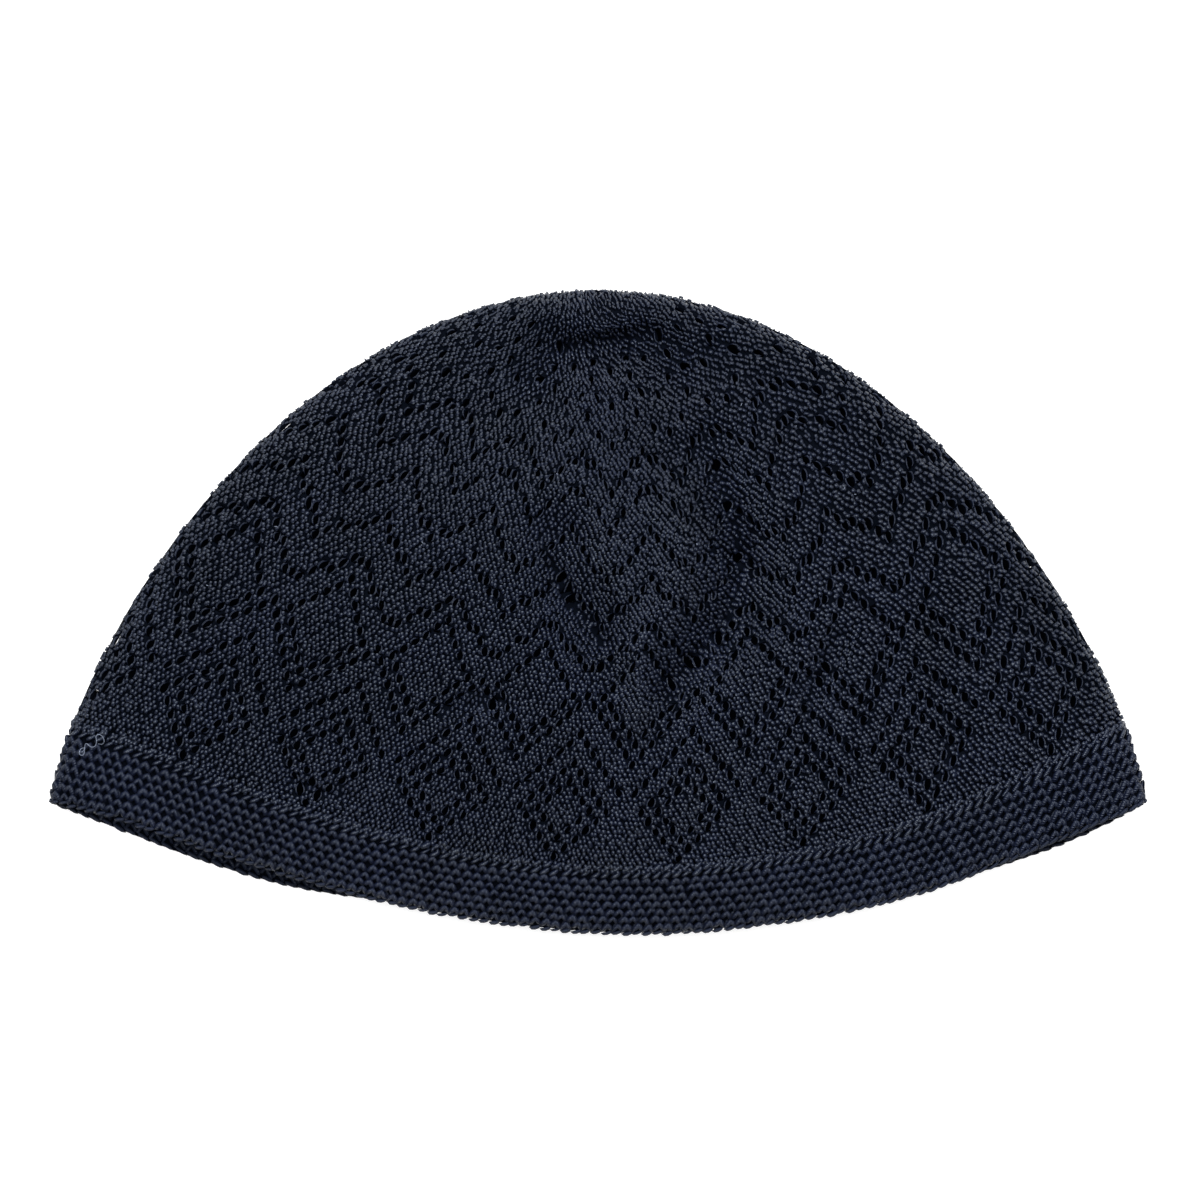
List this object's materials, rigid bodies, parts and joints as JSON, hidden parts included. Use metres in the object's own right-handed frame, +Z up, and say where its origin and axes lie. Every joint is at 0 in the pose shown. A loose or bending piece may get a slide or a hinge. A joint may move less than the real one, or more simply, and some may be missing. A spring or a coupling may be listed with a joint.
{
  "type": "knitted kufi",
  "caption": "Soft dark knitted skullcap lying folded flat: a tall hollow openwork crown above a thicker ribbed band round an open mouth that takes a head.",
  "frame": {"origin": "on the floor below the middle of the cap's outline as it lies flat", "axes": "+X across the mouth from fold to fold, +Y from the mouth to the gathered tip, +Z up from the floor through both layers"},
  "size_m": [0.25, 0.147, 0.0303],
  "materials": {
    "crown_yarn": "fine openwork knitting in dark navy yarn with a faint sheen",
    "band_yarn": "chunky ribbed knitting in the same dark navy yarn"
  },
  "bodies": {
    "root": {"crown": "crown_yarn", "band": "band_yarn"}
  },
  "joints": []
}
